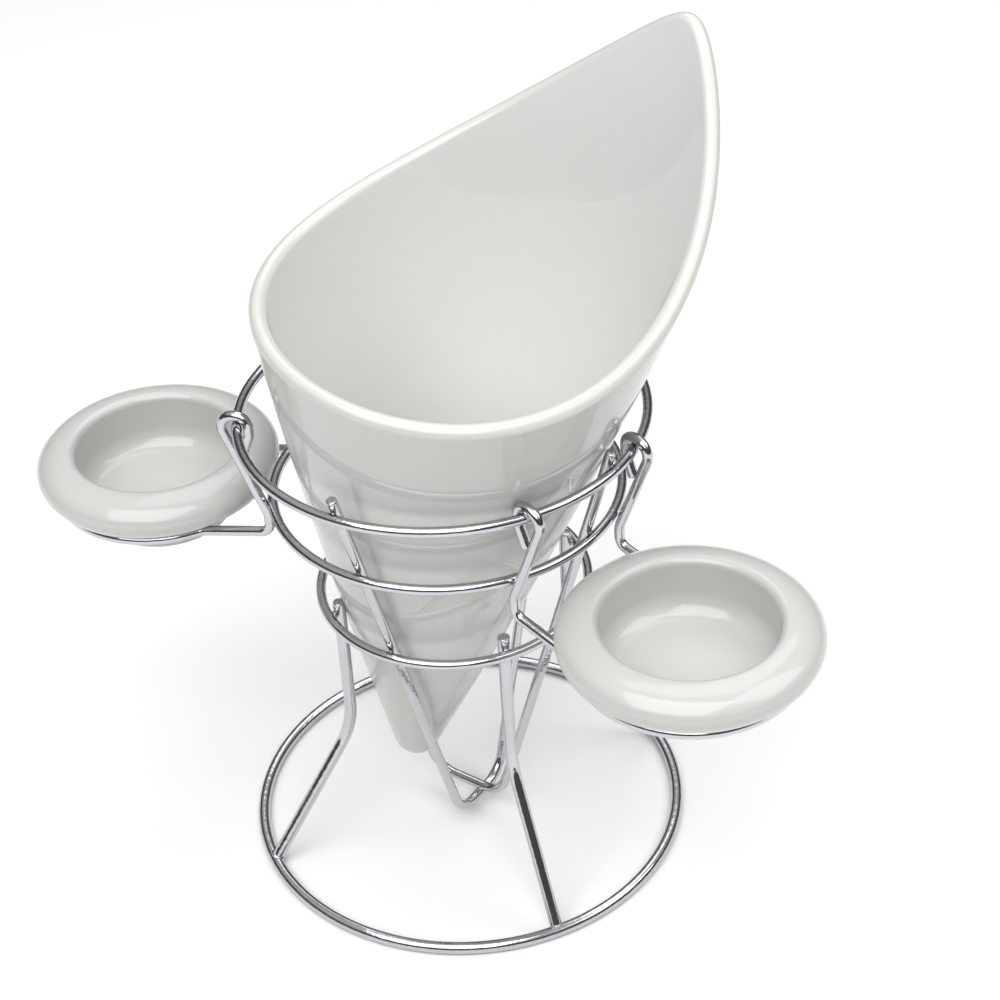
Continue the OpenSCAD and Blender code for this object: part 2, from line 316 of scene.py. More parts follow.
# The cone's outside takes the darker body colour and its inside the lighter one: painted shade and
# painted light.
CONE_GLAZE = porcelain("cone_glaze", "lip", Body=(0.51, 0.51, 0.49, 1), Wave_size=45.0,
                       Wave_depth=0.22)
print("glaze sockets:", [item.name for item in GLAZE.interface.items_tree])

# %% [markdown]
# ## The chrome
# The steel wire is bent and welded first and then plated, so one bright skin covers
# wires and welds alike. Chrome has almost no colour of its own: it shows the room.
# What makes it believable is the faint orange-peel waviness under the plating, the
# very fine grain that polishing leaves, and duller patches where the current was weak.

# %% Plating group
PATCH_SCALE, PEEL_SCALE, HAIR_SCALE = 90.0, 520.0, 2600.0   # dull patches, orange peel, grain
PATCH_FROM, PATCH_GAIN = 0.52, 6                            # where a patch starts to be dull
DULL_TONE, DULL_SHARE, DULL_ROUGH = (0.4, 0.41, 0.43, 1), 0.5, 0.16
HAIR_ROUGH, HAIR_HEIGHT, PEEL_HEIGHT = 0.03, 0.08, 0.0002


def plating_group():
    tree = bpy.data.node_groups.new("plating", "ShaderNodeTree")
    socket(tree, "Metal", "NodeSocketColor", (0.54, 0.55, 0.57, 1))
    socket(tree, "Gloss", "NodeSocketFloat", 0.07)
    socket(tree, "Waviness", "NodeSocketFloat", 0.2)
    socket(tree, "Dull patches", "NodeSocketFloat", 0.3)
    socket(tree, "Color", "NodeSocketColor", output=True)
    socket(tree, "Roughness", "NodeSocketFloat", output=True)
    socket(tree, "Normal", "NodeSocketVector", output=True)
    given = add(tree, "NodeGroupInput").outputs
    place = add(tree, "ShaderNodeTexCoord").outputs["Object"]
    patch, peel, hair = [
        Sum(tree, add(tree, "ShaderNodeTexNoise",
                      {"Vector": place, "Scale": scale, "Detail": detail}).outputs[0])
        for scale, detail in ((PATCH_SCALE, 4.0), (PEEL_SCALE, 1.0), (HAIR_SCALE, 2.0))]
    spread = ((patch - PATCH_FROM) * PATCH_GAIN).at_least(0).at_most(1)
    dull = spread * Sum(tree, given["Dull patches"])
    rough = Sum(tree, given["Gloss"]) + dull * DULL_ROUGH + hair * HAIR_ROUGH
    bump = add(tree, "ShaderNodeBump", {
        "Height": peel + hair * HAIR_HEIGHT, "Strength": given["Waviness"],
        "Distance": PEEL_HEIGHT})
    add(tree, "NodeGroupOutput", {
        "Color": blend(tree, dull * DULL_SHARE, given["Metal"], DULL_TONE),
        "Roughness": rough, "Normal": bump.outputs[0]})
    return tree


PLATING = plating_group()


def chrome(name, **values):
    material, _, shader = material_from(name, PLATING, **values)
    shader.inputs["Metallic"].default_value = 1.0
    return material


CAGE_CHROME = chrome("cage_chrome", Gloss=0.06)
LEG_CHROME = chrome("leg_chrome", Gloss=0.08, Waviness=0.3, Dull_patches=0.45)
WELD_CHROME = chrome("weld_chrome", Gloss=0.16, Waviness=0.8, Dull_patches=0.8)
print("plating sockets:", [item.name for item in PLATING.interface.items_tree])

# %% [markdown]
# ## The cone
# The cone is slip-cast in one piece: clay is poured into a plaster mould and drained,
# which leaves a wall of even thickness, and the slanted mouth is cut and sponged round
# before firing. Its shape follows one rule, so a geometry tree can make it from a
# flat grid. Across the grid runs the turn about the axis. Along it runs the section:
# from the tip up the outside, over the lip in a half circle, and down the inside.

# %% The cone's recipe
CONE = {
    "Tip_radius": 7.2 * MM, "Wall": 4.8 * MM, "Front_height": 155 * MM,
    "Mouth_radius": 54.8 * MM, "Side_bow": 1.59 * MM, "Lip_rise": 70 * MM,
    "Lip_fall": 2.02, "Lip_round": 0.054,
}
CROWDING = math.radians(24)    # the grid is denser towards the pointed lip
OUTSIDE, INSIDE = 0.44, 0.56   # shares of the section where the lip starts and ends
TIP_SHARE = 0.1                # share of each side that the round tip takes
SLANT_STEP = 0.03              # turn over which the mouth's own slope is measured
TURN_STEPS, SECTION_STEPS = 320, 190
MERGE_WITHIN = 0.005 * MM      # closes the seam and the two poles


def cone_tree():
    tree = bpy.data.node_groups.new("slanted_cone", "GeometryNodeTree")
    socket(tree, "Geometry", "NodeSocketGeometry")
    for name, value in CONE.items():
        socket(tree, name.replace("_", " "), "NodeSocketFloat", value)
    socket(tree, "Turn steps", "NodeSocketInt", TURN_STEPS)
    socket(tree, "Section steps", "NodeSocketInt", SECTION_STEPS)
    socket(tree, "Material", "NodeSocketMaterial")
    socket(tree, "Geometry", "NodeSocketGeometry", output=True)
    given = add(tree, "NodeGroupInput").outputs
    tip, wall, front, mouth, bow, rise, fall, rounding = [
        Sum(tree, given[name.replace("_", " ")]) for name in CONE]

    grid = add(tree, "GeometryNodeMeshGrid", {"Vertices X": given["Turn steps"],
                                              "Vertices Y": given["Section steps"]})
    at = add(tree, "ShaderNodeSeparateXYZ", {0: add(tree, "GeometryNodeInputPosition").outputs[0]})
    even = (Sum(tree, at.outputs[0]) + 0.5) * math.tau
    turn = even - even.sin() * CROWDING
    v = Sum(tree, at.outputs[1]) + 0.5
    w = (v / OUTSIDE).at_most((1 - v) / (1 - INSIDE)).at_least(0).at_most(1)
    over = ((v - OUTSIDE) / (INSIDE - OUTSIDE)).at_least(0).at_most(1) * math.pi

    tip_side = tip * (((mouth - tip) / front) ** 2 + 1) ** 0.5

    def mouth_at(angle):
        half = (angle / 2).sin().abs()
        blunt = ((half * half + rounding * rounding) ** 0.5 - rounding) / (
            (rounding * rounding + 1) ** 0.5 - rounding)
        return front + rise * (1 - blunt).at_least(0) ** fall

    height = mouth_at(turn)
    climb = (mouth_at(turn + SLANT_STEP) - mouth_at(turn - SLANT_STEP)) / (
        2 * SLANT_STEP * (tip_side + (mouth - tip_side) * height / front))
    taller = ((climb * climb + 1) ** 0.5 - 1) * wall / 2
    height = height - taller

    up = height * ((w - TIP_SHARE) / (1 - TIP_SHARE)).at_least(0)
    side = tip_side + (mouth - tip_side) * up / front + bow * 4 * up / front * (1 - up / front)
    slope = ((mouth - tip_side) / front + bow * 4 / front * (1 - up * 2 / front)).atan()
    in_tip = (w / TIP_SHARE).at_most(1)
    facing = (math.pi / 2 - slope) * in_tip - math.pi / 2
    on_side = w.math("LESS_THAN", TIP_SHARE) * -1 + 1
    in_middle = (1 - on_side) * (tip - wall / 2)
    middle_r = on_side * (side - wall / 2 / slope.cos()) + in_middle * facing.cos()
    middle_z = on_side * up + in_middle * facing.sin()
    half_wall, crest = wall / 2 * over.cos(), (wall / 2 + taller) * over.sin()
    out = middle_r + half_wall * facing.cos() - crest * facing.sin()
    high = middle_z + half_wall * facing.sin() + crest * facing.cos()

    spot = add(tree, "ShaderNodeCombineXYZ", {0: out * turn.cos(), 1: out * turn.sin(), 2: high})
    marked = grid.outputs["Mesh"]
    # The inside mark tells the glaze where to paint the cone's inside lighter, as painted light.
    for name, value in (("lip", over.sin()), ("inside", over / math.pi)):
        marked = add(tree, "GeometryNodeStoreNamedAttribute",
                     {"Geometry": marked, "Name": name, "Value": value},
                     data_type="FLOAT", domain="POINT").outputs[0]
    bent = add(tree, "GeometryNodeSetPosition", {"Geometry": marked,
                                                 "Position": spot.outputs[0]})
    closed = add(tree, "GeometryNodeMergeByDistance", {"Geometry": bent.outputs[0],
                                                       "Distance": MERGE_WITHIN})
    end_tree(tree, closed.outputs[0], given["Material"])
    return tree


# %% [markdown]
# The tree makes the cone upright about its own axis. It is then turned so that its
# lip points the right way, tipped over by its lean, and set down at its tip. The
# object stays at the origin and the place goes into the mesh.

# %% The cone, made and put in place
CONE_LEAN, CONE_LEAN_AZIMUTH, LIP_AZIMUTH = 8.14, -21.2, 34.5
TIP = Vector((-15.0, 1.18, 28.74)) * MM

cone = made_by(cone_tree(), "porcelain_cone", bpy.data.meshes.new("start"), **CONE,
               Turn_steps=TURN_STEPS, Section_steps=SECTION_STEPS, Material=CONE_GLAZE)
place = (Matrix.Translation(TIP)
         @ Matrix.Rotation(math.radians(CONE_LEAN_AZIMUTH), 4, "Z")
         @ Matrix.Rotation(math.radians(CONE_LEAN), 4, "Y")
         @ Matrix.Rotation(math.radians(LIP_AZIMUTH - CONE_LEAN_AZIMUTH), 4, "Z"))
cone.data.transform(place)
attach(cone, "root")
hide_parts("fries_cone")

# %% [markdown]
# ## The wires
# Each wire is a route of straight runs and bends. A bend is an arc that touches both
# runs, so its points are worked out from the corner and the bend's radius. The tube
# round the route repeats one circle along it, which is a job for a geometry tree:
# the same recipe makes every wire, thick or thin, open or closed.

# %% Routes


def bend(a, b, c, radius, step=6):
    """Points of the arc that rounds corner b on the way from a to c."""
    into, out = (b - a).normalized(), (c - b).normalized()
    turn = into.angle(out)
    if turn < 1e-4:
        return [b]
    middle = b + (out - into).normalized() * radius / math.cos(turn / 2)
    across = (b - into * radius * math.tan(turn / 2) - middle).normalized()
    steps = max(2, math.ceil(math.degrees(turn) / step))
    return [middle + radius * (math.cos(turn * k / steps) * across
                               + math.sin(turn * k / steps) * into)
            for k in range(steps + 1)]


def rounded(route, radii):
    """The route with every inner corner rounded by its radius."""
    points = [route[0]]
    for k in range(1, len(route) - 1):
        points += bend(route[k - 1], route[k], route[k + 1], radii[k])
    return points + [route[-1]]


def cut_ends(points, lead=1.2):
    """Adds points close to both cut ends, where the cutter's burr is ground round."""
    def lead_in(end, inner):
        way = (inner - end).normalized()
        return [end + way * lead * share for share in (0, 0.04, 0.12, 0.25, 0.45, 1)]
    return lead_in(points[0], points[1]) + points[1:-1] + lead_in(points[-1], points[-2])[::-1]


def line_mesh(name, points, closed=False):
    """A mesh that is only a line of edges, in metres."""
    mesh = bpy.data.meshes.new(name)
    count = len(points)
    edges = [(k, (k + 1) % count) for k in range(count if closed else count - 1)]
    mesh.from_pydata([p * MM for p in points], edges, [])
    return mesh


# %% The wire's recipe
END_ROUND = 0.45 * MM   # radius that the grinding gives to a cut end
SHARP_FROM = 50         # degrees between faces from which an edge is shaded sharp


def wire_tree():
    tree = bpy.data.node_groups.new("bent_wire", "GeometryNodeTree")
    socket(tree, "Geometry", "NodeSocketGeometry")
    socket(tree, "Diameter", "NodeSocketFloat", 3 * MM)
    socket(tree, "Sides", "NodeSocketInt", 28)
    socket(tree, "End round", "NodeSocketFloat", END_ROUND)
    socket(tree, "Material", "NodeSocketMaterial")
    socket(tree, "Geometry", "NodeSocketGeometry", output=True)
    given = add(tree, "NodeGroupInput").outputs
    line = add(tree, "GeometryNodeMeshToCurve", {"Mesh": given["Geometry"]})
    here = Sum(tree, add(tree, "GeometryNodeSplineParameter").outputs["Length"])
    whole = Sum(tree, add(tree, "GeometryNodeSplineLength").outputs["Length"])
    rounding = Sum(tree, given["End round"])
    short = (1 - here.at_most(whole - here) / rounding.at_least(0.0001 * MM)).at_least(0).at_most(1)
    shrink = (1 - (short * short * -1 + 1) ** 0.5) * rounding
    thick = Sum(tree, given["Diameter"]) / 2 - shrink
    circle = add(tree, "GeometryNodeCurvePrimitiveCircle",
                 {"Resolution": given["Sides"], "Radius": 1.0})
    tube = add(tree, "GeometryNodeCurveToMesh", {
        "Curve": line.outputs[0], "Profile Curve": circle.outputs[0], "Scale": thick,
        "Fill Caps": True})
    end_tree(tree, tube.outputs[0], given["Material"])
    return tree


WIRE = wire_tree()


def wire(name, node, points, diameter, material, closed=False):
    """Makes one plated wire along its points, as the piece that stands for its node."""
    line = points if closed else cut_ends(points)
    piece = made_by(WIRE, name, line_mesh(name, line, closed), Diameter=diameter * MM,
                    End_round=0.0 if closed else END_ROUND, Material=material)
    piece.data.set_sharp_from_angle(angle=math.radians(SHARP_FROM))
    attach(piece, "root")
    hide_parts(node)


# %% [markdown]
# ## Rings and legs
# Four rings make the stand: the wide base ring and three cage rings that open upwards
# like the cone. They are closed loops, so their lines are closed too. The legs start
# inside the lower ring, bend outwards and are butt-welded to the base ring.

# %% Rings


def circle_points(radius, z, steps=180):
    return [radius * along(360 * k / steps) + Vector((0, 0, z)) for k in range(steps)]


wire("ring_base", "base_ring", circle_points(BASE_R, LEG_WIRE / 2), LEG_WIRE, LEG_CHROME,
     closed=True)
for ring_name, ring_z in (("lower", LOWER_Z), ("middle", MIDDLE_Z), ("upper", UPPER_Z)):
    wire("ring_" + ring_name, ring_name + "_ring", circle_points(cage_r(ring_z), ring_z), CAGE_WIRE,
         CAGE_CHROME, closed=True)

# %% Legs
LEG_AZIMUTH, LEG_KNEE_Z, LEG_BEND_R, LEG_TOP_OVER = 22.0, 46.0, 26.0, 4.4
LEG_TOP_R = LOWER_R - (LEG_WIRE + CAGE_WIRE) / 2 - TOUCH
leg_knee, leg_foot = Vector((LEG_TOP_R, 0, LEG_KNEE_Z)), Vector((BASE_R, 0, LEG_WIRE / 2))
leg_way = (leg_knee - leg_foot).normalized()
# The foot ends inside the base ring's wire, where the weld joins them
leg_route = [Vector((LEG_TOP_R, 0, LOWER_Z + LEG_TOP_OVER)), leg_knee,
             leg_foot + leg_way * LEG_WIRE / 4]
leg_turns = [Matrix.Rotation(math.radians(LEG_AZIMUTH + 90 * count), 3, "Z") for count in range(4)]

for leg_name, turned in zip(("right", "back", "left", "front"), leg_turns):
    wire("leg_" + leg_name, leg_name + "_leg",
         [turned @ p for p in rounded(leg_route, [0, LEG_BEND_R, 0])], LEG_WIRE, LEG_CHROME)

# %% [markdown]
# ## V wires
# Two long wires cross under the cone, each bent into a V with a flat bottom. Their
# arms run up inside the cage rings, and their cut ends stand just above the top one.

# %% V wires
V_INSET = (CAGE_WIRE + TOUCH) / math.cos(CAGE_SLOPE)
V_TOP_OVER, V_GROUND_GAP, V_BEND_R = 3.4, 3.2, 9.0
V_TOP_Z, V_BOTTOM_Z = UPPER_Z + CAGE_WIRE / 2 + V_TOP_OVER, V_GROUND_GAP + CAGE_WIRE / 2
CROSS_BOTTOM_Z = V_BOTTOM_Z + CAGE_WIRE + TOUCH
LONG_V, CROSS_V = (54.0, 4.0), (-36.0, 0.0)   # direction, and distance from the middle


def v_point(azimuth, aside, sign, z):
    reach = math.sqrt((cage_r(z) - V_INSET) ** 2 - aside ** 2)
    return sign * reach * along(azimuth) + aside * along(azimuth - 90) + Vector((0, 0, z))


def v_route(azimuth, aside, bottom_z):
    return [v_point(azimuth, aside, sign, z)
            for sign, z in ((-1, V_TOP_Z), (-1, bottom_z), (1, bottom_z), (1, V_TOP_Z))]


for v_name, v_node, line, bottom_z in (("v_long", "long_v_wire", LONG_V, V_BOTTOM_Z),
                                       ("v_cross", "cross_v_wire", CROSS_V, CROSS_BOTTOM_Z)):
    wire(v_name, v_node, rounded(v_route(*line, bottom_z), [0, V_BEND_R, V_BEND_R, 0]),
         CAGE_WIRE, CAGE_CHROME)

# %% [markdown]
# ## Dish holders
# Each holder is a single wire. From its cut tail inside the top ring it loops over
# the ring, slopes in against the middle ring, turns at a knee, and runs out into the
# ring that carries the dish. The second arm is the first one mirrored.

# %% Dish holders
HOOK_HALF, HOOK_IN, HOOK_OUT, TAIL_LEN, KNEE_DROP = 20.9, 3.4, 4.6, 13.0, 10.8
TAIL_SLOPE, CREST_FLAT, RING_LEAD = math.radians(22), 0.6, 6.0
IN_BEND_R, OUT_BEND_R = HOOK_IN - CREST_FLAT / 2, HOOK_OUT - CREST_FLAT / 2
TAIL_BEND_R, SLOPE_BEND_R, BOW_BEND_R, KNEE_BEND_R, LEAD_BEND_R = 5, 1.5, 8, 3.5, 4
HALF_RING_STEPS = 60
UPPER_R, MIDDLE_R = cage_r(UPPER_Z), cage_r(MIDDLE_Z)
hook_x = math.sqrt(UPPER_R ** 2 - HOOK_HALF ** 2)
middle_x = math.sqrt(MIDDLE_R ** 2 - HOOK_HALF ** 2)
crest_z = UPPER_Z + CAGE_WIRE + TOUCH
loop_z, arm_top_x = crest_z - HOOK_OUT, hook_x + HOOK_OUT
ring_turn = math.asin(HOOK_HALF / MIDDLE_R)


def arm_slope_for(offset):
    return math.atan((arm_top_x - middle_x - offset) / (loop_z - MIDDLE_Z))


def arm_clear(slope):
    """Distance at which an arm of this slope clears the middle ring."""
    skew = math.cos(ring_turn)
    return (CAGE_WIRE + TOUCH) * math.hypot(math.cos(slope), skew * math.sin(slope)) / (
        skew * math.cos(slope))


arm_slope = arm_slope_for(arm_clear(arm_slope_for(arm_clear(arm_slope_for(CAGE_WIRE)))))
leave = math.degrees(math.asin(HOOK_HALF / HOLDER_R))
leave_x = HOLDER_REACH - HOLDER_R * math.cos(math.radians(leave))
knee_z, bow_z = MIDDLE_Z - KNEE_DROP, MIDDLE_Z - 1.5 * CAGE_WIRE
bow_x = arm_top_x - (loop_z - bow_z) * math.tan(arm_slope)
tail_bend_z, tail_end_z = UPPER_Z - CAGE_WIRE, crest_z - TAIL_LEN
tail_end_x = hook_x - HOOK_IN + (tail_bend_z - tail_end_z) * math.tan(TAIL_SLOPE)

arm_route = [Vector((x, HOOK_HALF, z)) for x, z in (
    (tail_end_x, tail_end_z), (hook_x - HOOK_IN, tail_bend_z), (hook_x - HOOK_IN, crest_z),
    (arm_top_x, crest_z), (arm_top_x, loop_z - CREST_FLAT), (bow_x, bow_z), (bow_x, knee_z),
    (leave_x, HOLDER_Z))]
arm_route.append(arm_route[-1] + RING_LEAD * Vector(
    (math.sin(math.radians(leave)), math.cos(math.radians(leave)), 0)))
arm_bends = [0, TAIL_BEND_R, IN_BEND_R, OUT_BEND_R, SLOPE_BEND_R, BOW_BEND_R, KNEE_BEND_R,
             LEAD_BEND_R, 0]
arm = rounded(arm_route, arm_bends)[:-1]
ring_start = 180 - RING_LEAD - leave
ring_run = [Vector((HOLDER_REACH, 0, HOLDER_Z))
            + HOLDER_R * along(ring_start * (1 - k / HALF_RING_STEPS))
            for k in range(2 * HALF_RING_STEPS + 1)]
holder_route = arm + ring_run + [Vector((p.x, -p.y, p.z)) for p in reversed(arm)]

for side_name, azimuth in (("right", RIGHT_AZIMUTH), ("left", LEFT_AZIMUTH)):
    turned = Matrix.Rotation(math.radians(azimuth), 3, "Z")
    wire("holder_wire_" + side_name, side_name + "_holder", [turned @ p for p in holder_route],
         CAGE_WIRE, CAGE_CHROME)

# %% [markdown]
# ## Dip dishes
# A dish is round, so it is drawn once as half a section and spun about its axis, as a
# jigger tool does with the clay. Its rim is a fat roll whose crest stands close to the
# opening, so that it falls gently outwards and turns sharply into the well. The
# underside slopes in to a low foot, and rests on the holder's ring by that slope. The
# foot's rim carries no glaze, because the dish would stick to the kiln shelf: the mesh
# marks that band for the material.

# %% The dish's section
RIM_R, RIM_T, FLOOR_DEPTH, FLOOR_ROUND = 29.9, 5.9, 11.4, 6.2
FOOT_R, FOOT_DEPTH, FOOT_HOLLOW, FOOT_WIDTH = 20.2, 18.4, 2.4, 3.6
UNDER_INSET, OPENING_ROUND, FOOT_EDGE, BARE_BAND = 2.6, 2.2, 0.8, 0.5
HOLLOW_RING, FLOOR_RING = 6.0, 9.0   # radii of one more ring of points on each flat
UNDER_LINE = RIM_R + RIM_T * math.sqrt(2) - UNDER_INSET
DISH_Z = HOLDER_Z + UNDER_LINE - HOLDER_R + (CAGE_WIRE / 2 + SEAT) * math.sqrt(2)


def arc(r, z, radius, start, end, steps):
    return [(r + radius * math.cos(math.radians(start + (end - start) * k / steps)),
             z + radius * math.sin(math.radians(start + (end - start) * k / steps)))
            for k in range(steps + 1)]


def run(a, b, steps):
    """Points between a and b, without both ends."""
    return [(a[0] + (b[0] - a[0]) * k / steps, a[1] + (b[1] - a[1]) * k / steps)
            for k in range(1, steps)]


def dish_section():
    hollow_r = FOOT_R - FOOT_WIDTH
    well_r = RIM_R - RIM_T
    meet = 45 + math.degrees(math.acos(1 - UNDER_INSET / math.sqrt(2) / RIM_T))
    hollow = [(r, FOOT_HOLLOW - FOOT_DEPTH) for r in (0.0, HOLLOW_RING, hollow_r - FOOT_HOLLOW)]
    foot = (arc(hollow_r + FOOT_EDGE, FOOT_EDGE - FOOT_DEPTH, FOOT_EDGE, 225, 270, 4)
            + arc(FOOT_R - FOOT_EDGE, FOOT_EDGE - FOOT_DEPTH, FOOT_EDGE, 270, 360, 6))
    neck = (FOOT_R, FOOT_R - UNDER_LINE)
    crest_r = well_r + OPENING_ROUND
    outer = RIM_R + RIM_T - crest_r
    rim = (arc(RIM_R, 0, RIM_T, -meet, 0, 20)[:-1]
           + [(crest_r + outer * math.cos(t), RIM_T * math.sin(t))
              for t in (math.pi / 2 * k / 28 for k in range(29))][:-1]
           + arc(crest_r, RIM_T - OPENING_ROUND, OPENING_ROUND, 90, 180, 12))
    floor = arc(well_r - FLOOR_ROUND, FLOOR_ROUND - FLOOR_DEPTH, FLOOR_ROUND, 0, -90, 14)
    return (hollow + foot + [neck] + run(neck, rim[0], 12) + rim
            + run(rim[-1], floor[0], 5) + floor + [(FLOOR_RING, -FLOOR_DEPTH), (0.0, -FLOOR_DEPTH)])


# %% Spin the dishes
DISH_GLAZE = porcelain("dish_glaze", "bare", Body=(0.51, 0.51, 0.495, 1), Wave_size=80.0,
                       Wave_depth=0.12)


def dish(name, node, azimuth):
    shape = bmesh.new()
    points = [shape.verts.new((r, 0, z)) for r, z in dish_section()]
    edges = [shape.edges.new(pair) for pair in zip(points, points[1:])]
    bmesh.ops.spin(shape, geom=points + edges, cent=(0, 0, 0), axis=(0, 0, 1), dvec=(0, 0, 0),
                   angle=math.tau, steps=160, use_merge=True)
    bmesh.ops.remove_doubles(shape, verts=shape.verts, dist=1e-4)
    bmesh.ops.recalc_face_normals(shape, faces=shape.faces)
    for face in shape.faces:
        face.smooth = True
    mesh = bpy.data.meshes.new(name)
    shape.to_mesh(mesh)
    shape.free()
    bare = mesh.attributes.new("bare", "FLOAT", "POINT")
    for vertex, mark in zip(mesh.vertices, bare.data):
        mark.value = 1.0 if vertex.co.z < BARE_BAND - FOOT_DEPTH else 0.0
    centre = HOLDER_REACH * along(azimuth) + Vector((0, 0, DISH_Z))
    mesh.transform(Matrix.Scale(MM, 4) @ Matrix.Translation(centre))
    turn_out(mesh)
    piece = link_object(name, mesh)
    mesh.materials.append(DISH_GLAZE)
    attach(piece, "root")
    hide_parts(node)
    low = min(vertex.co.z for vertex in mesh.vertices) / MM
    print(f"{name}: {len(mesh.polygons)} faces, foot {low:.1f} mm above the ground")


dish("dish_right", "right_dish", RIGHT_AZIMUTH)
dish("dish_left", "left_dish", LEFT_AZIMUTH)

# %% [markdown]
# ## Welds
# Where two wires cross, a press squeezes them between electrodes and a little molten
# steel comes out round the contact. The same small bead repeats at every crossing, so
# a geometry tree puts one on each point, turned to face the way the wires meet.

# %% The bead's recipe
LUMP_SCALE, BEAD_SPREAD = 1.3, (0.9, 1.12)   # unevenness of a bead, and of their sizes


def bead_tree():
    tree = bpy.data.node_groups.new("weld_beads", "GeometryNodeTree")
    socket(tree, "Geometry", "NodeSocketGeometry")
    socket(tree, "Bead radius", "NodeSocketFloat", 1.2 * MM)
    socket(tree, "Flatness", "NodeSocketFloat", 0.45)
    socket(tree, "Unevenness", "NodeSocketFloat", 0.1)
    socket(tree, "Seed", "NodeSocketInt", 4)
    socket(tree, "Material", "NodeSocketMaterial")
    socket(tree, "Geometry", "NodeSocketGeometry", output=True)
    given = add(tree, "NodeGroupInput").outputs
    ball = add(tree, "GeometryNodeMeshIcoSphere", {"Radius": 1.0, "Subdivisions": 4})
    noise = add(tree, "ShaderNodeTexNoise", {"Scale": LUMP_SCALE, "Detail": 1.0})
    way = add(tree, "GeometryNodeInputNormal").outputs[0]
    swell = add(tree, "ShaderNodeVectorMath", {
        0: way, "Scale": (Sum(tree, noise.outputs[0]) - 0.5) * Sum(tree, given["Unevenness"]) * 2},
        operation="SCALE")
    lumpy = add(tree, "GeometryNodeSetPosition", {"Geometry": ball.outputs["Mesh"],
                                                  "Offset": swell.outputs[0]})
    facing = add(tree, "GeometryNodeInputNamedAttribute", {"Name": "facing"},
                 data_type="FLOAT_VECTOR")
    turned = add(tree, "FunctionNodeAlignRotationToVector", {"Vector": facing.outputs[0]}, axis="Z")
    random = add(tree, "FunctionNodeRandomValue",
                 {2: BEAD_SPREAD[0], 3: BEAD_SPREAD[1], "Seed": given["Seed"]}, data_type="FLOAT")
    wide = Sum(tree, given["Bead radius"]) * Sum(tree, random.outputs[1])
    size = add(tree, "ShaderNodeCombineXYZ", {0: wide, 1: wide,
                                              2: wide * Sum(tree, given["Flatness"])})
    spots = add(tree, "GeometryNodeMeshToPoints", {"Mesh": given["Geometry"]})
    beads = add(tree, "GeometryNodeInstanceOnPoints", {
        "Points": spots.outputs[0], "Instance": lumpy.outputs[0],
        "Rotation": turned.outputs[0], "Scale": size.outputs[0]})
    end_tree(tree, beads.outputs[0], given["Material"])
    return tree


# %% Where wires cross
BEADS = bead_tree()


def crossings():
    """Contact points of the cage's wires, with the way each pair faces."""
    spots = []
    for azimuth, aside in (LONG_V, CROSS_V):
        for sign in (-1, 1):
            for z in (LOWER_Z, MIDDLE_Z, UPPER_Z):
                arm_at = v_point(azimuth, aside, sign, z)
                flat = Vector((arm_at.x, arm_at.y, 0)).normalized()
                out = flat * math.cos(CAGE_SLOPE) - Vector((0, 0, math.sin(CAGE_SLOPE)))
                out.normalize()
                spots.append((arm_at + out * CAGE_WIRE / 2, out))
    for count in range(4):
        out = along(LEG_AZIMUTH + 90 * count)
        spots.append((out * (LOWER_R - CAGE_WIRE / 2) + Vector((0, 0, LOWER_Z)), out))
    low = Vector((0, 0, V_BOTTOM_Z + CAGE_WIRE / 2))
    spots.append((low + LONG_V[1] * along(LONG_V[0] - 90), Vector((0, 0, 1))))
    return spots


def beads(name, spots, **values):
    mesh = bpy.data.meshes.new(name)
    mesh.from_pydata([spot * MM for spot, way in spots], [], [])
    facing = mesh.attributes.new("facing", "FLOAT_VECTOR", "POINT")
    for mark, (spot, way) in zip(facing.data, spots):
        mark.vector = way
    piece = made_by(BEADS, name, mesh, Material=WELD_CHROME, **values)
    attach(piece, "root")


beads("cage_welds", crossings(), Bead_radius=1.25 * MM, Flatness=0.45)

# %% [markdown]
# The legs end on the base ring, so their welds are rings of metal round each foot
# rather than lenses between two wires: a wider, rounder bead sunk into the joint.

# %% Welds at the feet
FOOT_BEAD_SINK = 0.1
foot_spot = leg_foot + leg_way * (LEG_WIRE / 2 - FOOT_BEAD_SINK)
beads("foot_welds", [(turned @ foot_spot, turned @ leg_way) for turned in leg_turns],
      Bead_radius=2.15 * MM, Flatness=0.42)

# %% [markdown]
# ## Studio
# The photograph is lit by broad soft light from above on a white sweep. Chrome needs
# something dark to reflect as well, or it turns plain white: a dim band round the
# horizon does that, as black cards do in a studio, and it also leaves the outside
# of the cone a shade darker than its inside.

# %% Floor
FLOOR_HALF, FLOOR_TONES = 1.6, ((0.87, 0.87, 0.87, 1), (0.9, 0.9, 0.895, 1))


def floor_material():
    material = bpy.data.materials.new("white_sweep")
    material.use_nodes = True
    tree = material.node_tree
    shader = tree.nodes["Principled BSDF"]
    place = add(tree, "ShaderNodeTexCoord").outputs["Object"]
    noise = add(tree, "ShaderNodeTexNoise", {"Vector": place, "Scale": 3.0, "Detail": 3.0})
    tree.links.new(blend(tree, noise.outputs[0], *FLOOR_TONES), shader.inputs["Base Color"])
    shader.inputs["Roughness"].default_value = 0.6
    shader.inputs["Specular IOR Level"].default_value = 0.2
    return material


floor_mesh = bpy.data.meshes.new("studio_floor")
floor_mesh.from_pydata([(FLOOR_HALF * x, FLOOR_HALF * y, 0)
                        for x, y in ((-1, -1), (1, -1), (1, 1), (-1, 1))], [], [(0, 1, 2, 3)])
studio_floor = link_object("studio_floor", floor_mesh)
floor_mesh.materials.append(floor_material())

# %% Light
AIM_Z = 0.1   # height that the lights face, in metres


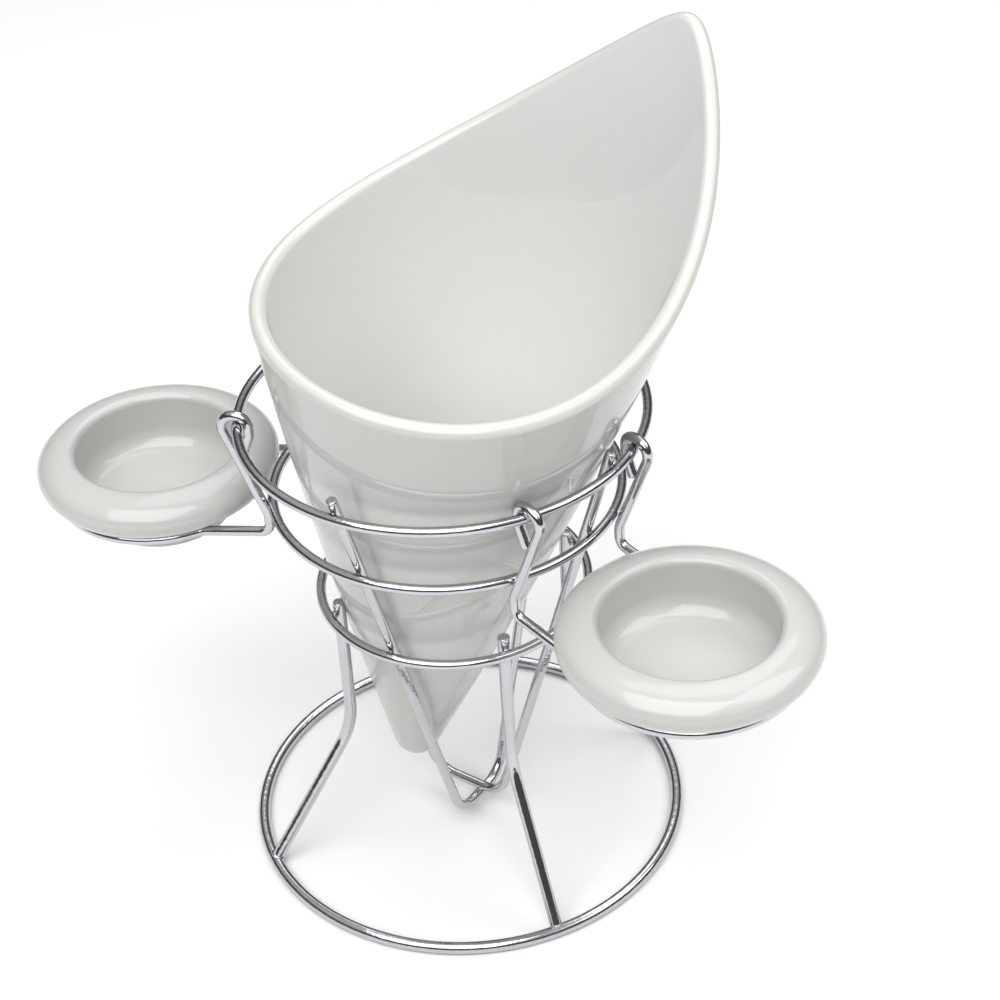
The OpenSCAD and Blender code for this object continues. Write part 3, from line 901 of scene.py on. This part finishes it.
def soft_box(name, azimuth, elevation, distance, size, power):
    """A square area light that faces the object."""
    lamp = bpy.data.lights.new(name, "AREA")
    lamp.shape, lamp.size, lamp.energy = "SQUARE", size, power
    obj = link_object(name, lamp)
    rise = math.radians(elevation)
    way = along(azimuth) * math.cos(rise) + Vector((0, 0, math.sin(rise)))
    obj.location = way * distance + Vector((0, 0, AIM_Z))
    obj.rotation_euler = way.to_track_quat("Z", "Y").to_euler()


soft_box("key_light", -110, 58, 1.6, 1.6, 26)
soft_box("back_light", 80, 62, 1.5, 1.0, 5)
soft_box("side_light", -8, 50, 1.5, 1.0, 7)

# %% The room round the floor
DARK_TOP, DARK_FADE = 0.42, 0.25   # sine of the height where the dim band ends, and its fade
DIM_TONE, ROOM_TONE, ROOM_STRENGTH = (0.16, 0.16, 0.165, 1), (1, 1, 1, 1), 0.6
world = bpy.data.worlds.new("studio")
bpy.context.scene.world = world
world.use_nodes = True
sky = world.node_tree
background = sky.nodes["Background"]
ray = add(sky, "ShaderNodeSeparateXYZ", {0: add(sky, "ShaderNodeTexCoord").outputs["Generated"]})
upward = Sum(sky, ray.outputs[2])
lit = ((upward - DARK_TOP) / DARK_FADE).at_least(0).at_most(1)
sky.links.new(blend(sky, lit, DIM_TONE, ROOM_TONE), background.inputs["Color"])
background.inputs["Strength"].default_value = ROOM_STRENGTH

# %% [markdown]
# ## Camera
# A camera was fitted to the rings of the stand in the photograph: where it stands,
# how far it looks down, how much it is rolled, and how long its lens is.

# %% Camera
LOOK_DOWN, ROLL = 0.634, -0.057
TARGET, DISTANCE = Vector((14.626, 0, 115.747)), 648.02
FOCAL_PIXELS, FRAME_PIXELS, SENSOR = 2266.3, 1000, 36.0

back = Vector((0, -math.cos(LOOK_DOWN), math.sin(LOOK_DOWN)))
flat_right = Vector((1, 0, 0))
flat_up = back.cross(flat_right)
right = math.cos(ROLL) * flat_right + math.sin(ROLL) * flat_up
up = math.cos(ROLL) * flat_up - math.sin(ROLL) * flat_right
lens = bpy.data.cameras.new("photo_camera")
lens.sensor_width = SENSOR
lens.lens = FOCAL_PIXELS / FRAME_PIXELS * SENSOR
camera = link_object("photo_camera", lens)
camera.matrix_world = (Matrix.Translation((TARGET + back * DISTANCE) * MM)
                       @ Matrix((right, up, back)).transposed().to_4x4())
bpy.context.scene.camera = camera
bpy.context.scene.view_settings.view_transform = "Standard"
print("lens:", round(lens.lens, 2), "mm, camera at", [round(c, 3) for c in camera.location])
